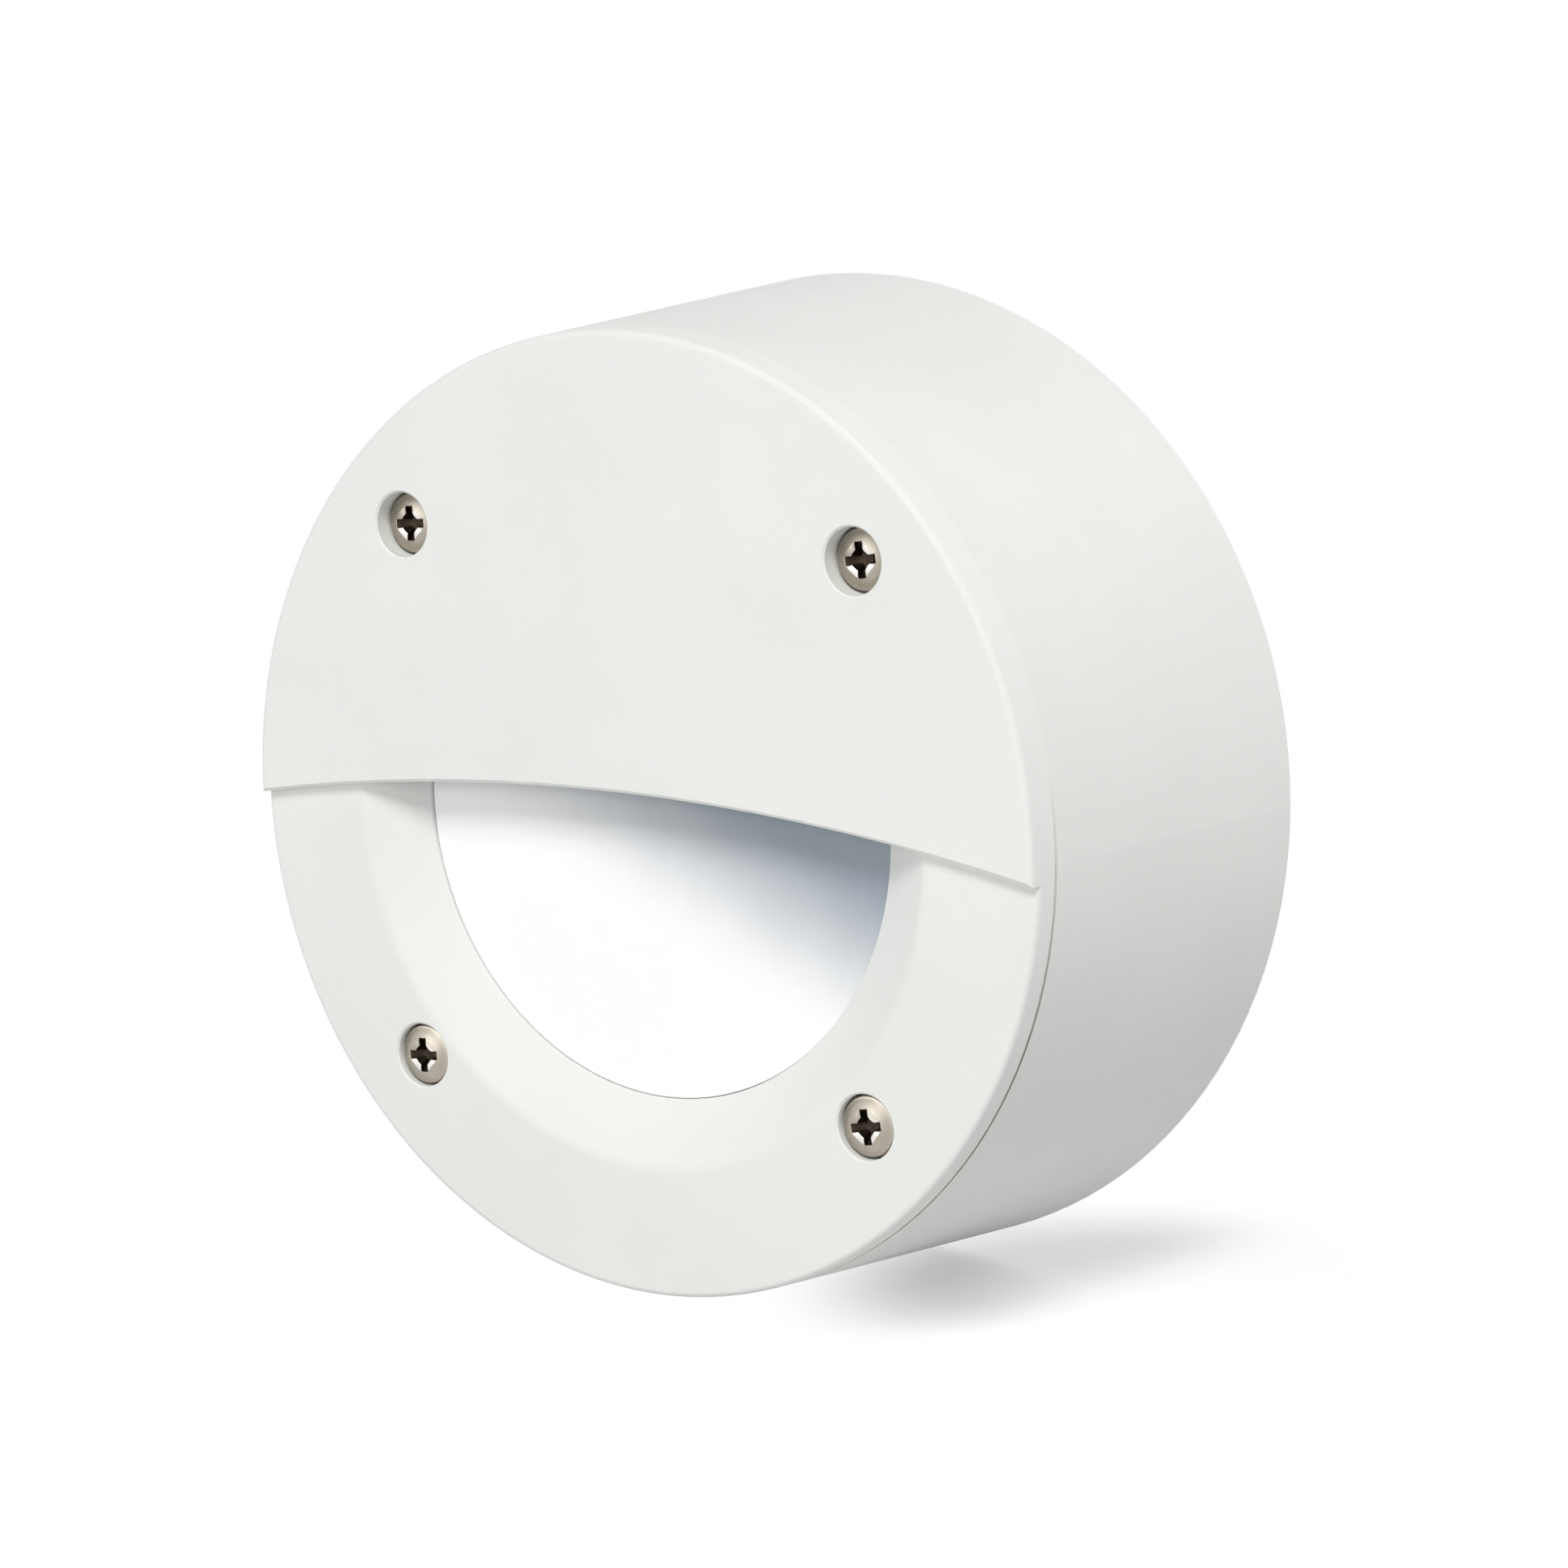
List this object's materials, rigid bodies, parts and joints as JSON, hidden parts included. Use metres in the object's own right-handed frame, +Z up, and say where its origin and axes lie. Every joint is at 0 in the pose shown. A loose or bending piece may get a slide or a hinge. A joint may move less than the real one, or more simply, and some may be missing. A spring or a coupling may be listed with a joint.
{
  "type": "step light",
  "caption": "Round surface step light: tapered housing, front bezel with an eyelid hood, opal diffuser, twist-lock disc lamp and screwed cover.",
  "frame": {"origin": "centre of the rear face, which lies on the wall", "axes": "+Y points into the wall, so the light faces -Y; +Z is up; +X is to the right of someone who looks at the light"},
  "size_m": [0.13, 0.0535, 0.13],
  "materials": {
    "housing_white": "fine moulded texture",
    "bezel_white": "fine moulded texture",
    "opal": "satin opal",
    "stainless": "bright turned",
    "zinc_steel": "zinc plated",
    "nickel": "nickel plated",
    "brass": "machined",
    "silicone_grey": "matt",
    "silicone_clear": "matt translucent",
    "foam_black": "closed-cell foam",
    "rubber_black": "matt",
    "holder_white": "smooth moulded",
    "retainer_white": "smooth moulded",
    "lamp_white": "smooth moulded",
    "board_white": "white solder mask",
    "board_green": "green solder mask",
    "phosphor": "phosphor gel",
    "component_black": "moulded",
    "lead_brown": "smooth insulation",
    "lead_blue": "smooth insulation"
  },
  "bodies": {
    "housing": {"rear_housing": "housing_white", "threaded_inserts": "brass", "housing_seal": "silicone_grey", "wall_seal": "foam_black", "cable_grommet": "rubber_black", "lamp_holder": "holder_white", "lamp_holder_base": "holder_white", "lamp_holder_contacts": "brass", "lamp_holder_screws": "zinc_steel", "terminal_block": "holder_white", "terminal_clamps": "brass", "terminal_screws": "zinc_steel", "terminal_block_screw": "zinc_steel", "live_lead": "lead_brown", "neutral_lead": "lead_blue"},
    "cover": {"front_bezel": "bezel_white", "diffuser": "opal", "diffuser_seal": "silicone_clear", "diffuser_retainer": "retainer_white", "retainer_screws": "zinc_steel"},
    "seal_1": {"screw_seal_1": "rubber_black"},
    "screw_1": {"cover_screw_1": "stainless"},
    "seal_2": {"screw_seal_2": "rubber_black"},
    "screw_2": {"cover_screw_2": "stainless"},
    "seal_3": {"screw_seal_3": "rubber_black"},
    "screw_3": {"cover_screw_3": "stainless"},
    "seal_4": {"screw_seal_4": "rubber_black"},
    "screw_4": {"cover_screw_4": "stainless"},
    "lamp": {"lamp_housing": "lamp_white", "lamp_pins": "nickel", "lamp_lens": "opal", "led_board": "board_white", "led_chips": "phosphor", "driver_board": "board_green", "driver_parts": "component_black"}
  },
  "joints": [
    {"name": "cover_lift", "type": "slide", "parent": "housing", "child": "cover", "axis": [0, -1, 0], "range_m": [0, 0.06]},
    {"name": "screw_rise_1", "type": "slide", "parent": "cover", "child": "seal_1", "axis": [0, -1, 0], "range_m": [0, 0.007]},
    {"name": "screw_turn_1", "type": "hinge", "parent": "seal_1", "child": "screw_1", "pos_m": [0.03566, -0.05, 0.03504], "axis": [0, -1, 0], "range_deg": [0, 3600]},
    {"name": "screw_rise_2", "type": "slide", "parent": "cover", "child": "seal_2", "axis": [0, -1, 0], "range_m": [0, 0.007]},
    {"name": "screw_turn_2", "type": "hinge", "parent": "seal_2", "child": "screw_2", "pos_m": [-0.03566, -0.05, 0.03504], "axis": [0, -1, 0], "range_deg": [0, 3600]},
    {"name": "screw_rise_3", "type": "slide", "parent": "cover", "child": "seal_3", "axis": [0, -1, 0], "range_m": [0, 0.007]},
    {"name": "screw_turn_3", "type": "hinge", "parent": "seal_3", "child": "screw_3", "pos_m": [-0.03566, -0.05, -0.03504], "axis": [0, -1, 0], "range_deg": [0, 3600]},
    {"name": "screw_rise_4", "type": "slide", "parent": "cover", "child": "seal_4", "axis": [0, -1, 0], "range_m": [0, 0.007]},
    {"name": "screw_turn_4", "type": "hinge", "parent": "seal_4", "child": "screw_4", "pos_m": [0.03566, -0.05, -0.03504], "axis": [0, -1, 0], "range_deg": [0, 3600]},
    {"name": "lamp_twist", "type": "hinge", "parent": "housing", "child": "lamp", "pos_m": [0, -0.02, 0], "axis": [0, -1, 0], "range_deg": [0, 18]}
  ],
  "couplings": [
    {"joint": "screw_turn_1", "follows": "screw_rise_1", "rad_per_m": 8975.9},
    {"joint": "screw_turn_2", "follows": "screw_rise_2", "rad_per_m": 8975.9},
    {"joint": "screw_turn_3", "follows": "screw_rise_3", "rad_per_m": 8975.9},
    {"joint": "screw_turn_4", "follows": "screw_rise_4", "rad_per_m": 8975.9}
  ]
}
